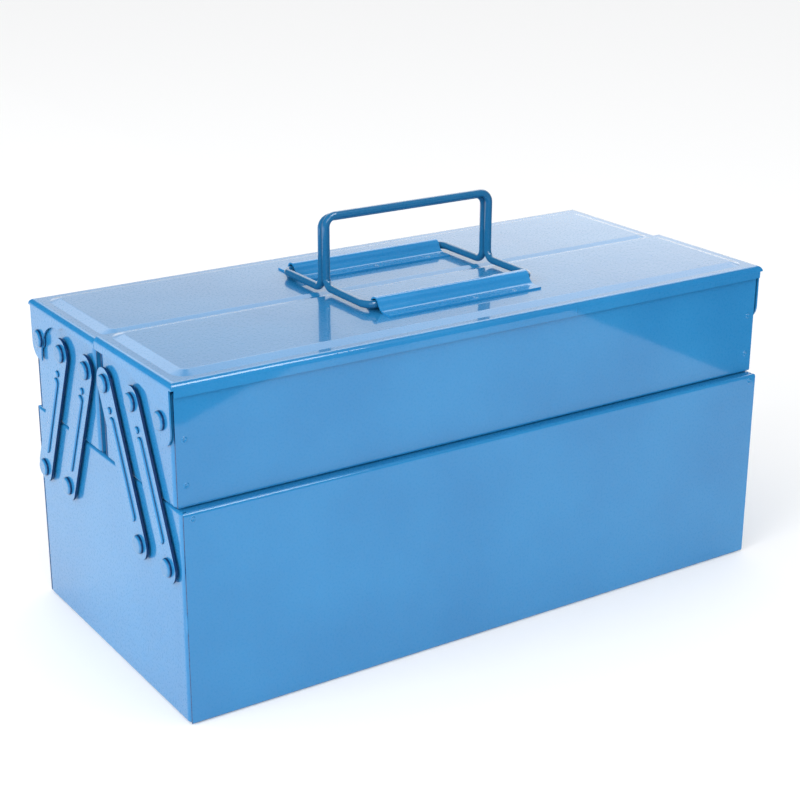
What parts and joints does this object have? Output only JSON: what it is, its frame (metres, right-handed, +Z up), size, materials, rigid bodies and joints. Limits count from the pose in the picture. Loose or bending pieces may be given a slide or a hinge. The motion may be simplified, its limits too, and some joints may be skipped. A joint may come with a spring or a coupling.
{
  "type": "portable tool box with drawers",
  "caption": "Blue enamelled steel cantilever tool box: a deep base, trays that swing out to the front and rear on riveted links, hinged lids and folding wire handles.",
  "frame": {"origin": "middle of the underside of the base box", "axes": "+X along the long side towards the right end, -Y to the front, +Z up"},
  "size_m": [0.3586, 0.168, 0.2102],
  "materials": {
    "blue_enamel": "gloss"
  },
  "bodies": {
    "base": {"base_wrap": "blue_enamel", "base_left_end": "blue_enamel", "base_right_end": "blue_enamel", "base_link_rivets": "blue_enamel", "base_link_washers": "blue_enamel"},
    "front_tray": {"front_tray_wrap": "blue_enamel", "front_tray_left_end": "blue_enamel", "front_tray_right_end": "blue_enamel", "front_tray_link_rivets": "blue_enamel", "front_tray_link_washers": "blue_enamel", "front_lid_rivets": "blue_enamel", "front_lid_washers": "blue_enamel"},
    "front_lid": {"front_lid": "blue_enamel", "front_handle_bracket": "blue_enamel"},
    "front_bail": {"front_bail": "blue_enamel"},
    "front_left_outer_link": {"front_left_outer_link": "blue_enamel"},
    "front_left_inner_link": {"front_left_inner_link": "blue_enamel"},
    "front_right_outer_link": {"front_right_outer_link": "blue_enamel"},
    "front_right_inner_link": {"front_right_inner_link": "blue_enamel"},
    "rear_tray": {"rear_tray_wrap": "blue_enamel", "rear_tray_left_end": "blue_enamel", "rear_tray_right_end": "blue_enamel", "rear_tray_link_rivets": "blue_enamel", "rear_tray_link_washers": "blue_enamel", "rear_lid_rivets": "blue_enamel", "rear_lid_washers": "blue_enamel"},
    "rear_lid": {"rear_lid": "blue_enamel", "rear_handle_bracket": "blue_enamel"},
    "rear_bail": {"rear_bail": "blue_enamel"},
    "rear_left_outer_link": {"rear_left_outer_link": "blue_enamel"},
    "rear_left_inner_link": {"rear_left_inner_link": "blue_enamel"},
    "rear_right_outer_link": {"rear_right_outer_link": "blue_enamel"},
    "rear_right_inner_link": {"rear_right_inner_link": "blue_enamel"}
  },
  "joints": [
    {"name": "front_tray_swing", "type": "hinge", "parent": "base", "child": "front_left_outer_link", "pos_m": [-0.1769, -0.0716, 0.0767], "axis": [1, 0, 0], "range_deg": [0, 47]},
    {"name": "front_left_inner_link_follow", "type": "hinge", "parent": "base", "child": "front_left_inner_link", "pos_m": [-0.1769, -0.0416, 0.0767], "axis": [1, 0, 0], "range_deg": [0, 47]},
    {"name": "front_right_outer_link_follow", "type": "hinge", "parent": "base", "child": "front_right_outer_link", "pos_m": [0.1769, -0.0716, 0.0767], "axis": [1, 0, 0], "range_deg": [0, 47]},
    {"name": "front_right_inner_link_follow", "type": "hinge", "parent": "base", "child": "front_right_inner_link", "pos_m": [0.1769, -0.0416, 0.0767], "axis": [1, 0, 0], "range_deg": [0, 47]},
    {"name": "front_tray_level", "type": "hinge", "parent": "front_left_outer_link", "child": "front_tray", "pos_m": [-0.1769, -0.0408, 0.1473], "axis": [1, 0, 0], "range_deg": [-47, 0]},
    {"name": "front_lid_hinge", "type": "hinge", "parent": "front_tray", "child": "front_lid", "pos_m": [0, -0.0695, 0.1473], "axis": [1, 0, 0], "range_deg": [0, 98]},
    {"name": "front_handle_turn", "type": "hinge", "parent": "front_lid", "child": "front_bail", "pos_m": [0, -0.0407, 0.1719], "axis": [1, 0, 0], "range_deg": [0, 125]},
    {"name": "rear_tray_swing", "type": "hinge", "parent": "base", "child": "rear_left_outer_link", "pos_m": [-0.1769, 0.0716, 0.0767], "axis": [-1, 0, 0], "range_deg": [0, 47]},
    {"name": "rear_left_inner_link_follow", "type": "hinge", "parent": "base", "child": "rear_left_inner_link", "pos_m": [-0.1769, 0.0416, 0.0767], "axis": [-1, 0, 0], "range_deg": [0, 47]},
    {"name": "rear_right_outer_link_follow", "type": "hinge", "parent": "base", "child": "rear_right_outer_link", "pos_m": [0.1769, 0.0716, 0.0767], "axis": [-1, 0, 0], "range_deg": [0, 47]},
    {"name": "rear_right_inner_link_follow", "type": "hinge", "parent": "base", "child": "rear_right_inner_link", "pos_m": [0.1769, 0.0416, 0.0767], "axis": [-1, 0, 0], "range_deg": [0, 47]},
    {"name": "rear_tray_level", "type": "hinge", "parent": "rear_left_outer_link", "child": "rear_tray", "pos_m": [-0.1769, 0.0408, 0.1473], "axis": [-1, 0, 0], "range_deg": [-47, 0]},
    {"name": "rear_lid_hinge", "type": "hinge", "parent": "rear_tray", "child": "rear_lid", "pos_m": [0, 0.0695, 0.1473], "axis": [-1, 0, 0], "range_deg": [0, 98]},
    {"name": "rear_handle_turn", "type": "hinge", "parent": "rear_lid", "child": "rear_bail", "pos_m": [0, 0.0407, 0.1702], "axis": [-1, 0, 0], "range_deg": [0, 125]}
  ],
  "couplings": [
    {"joint": "front_left_inner_link_follow", "follows": "front_tray_swing", "ratio": 1},
    {"joint": "front_right_outer_link_follow", "follows": "front_tray_swing", "ratio": 1},
    {"joint": "front_right_inner_link_follow", "follows": "front_tray_swing", "ratio": 1},
    {"joint": "front_tray_level", "follows": "front_tray_swing", "ratio": -1},
    {"joint": "rear_left_inner_link_follow", "follows": "rear_tray_swing", "ratio": 1},
    {"joint": "rear_right_outer_link_follow", "follows": "rear_tray_swing", "ratio": 1},
    {"joint": "rear_right_inner_link_follow", "follows": "rear_tray_swing", "ratio": 1},
    {"joint": "rear_tray_level", "follows": "rear_tray_swing", "ratio": -1}
  ]
}
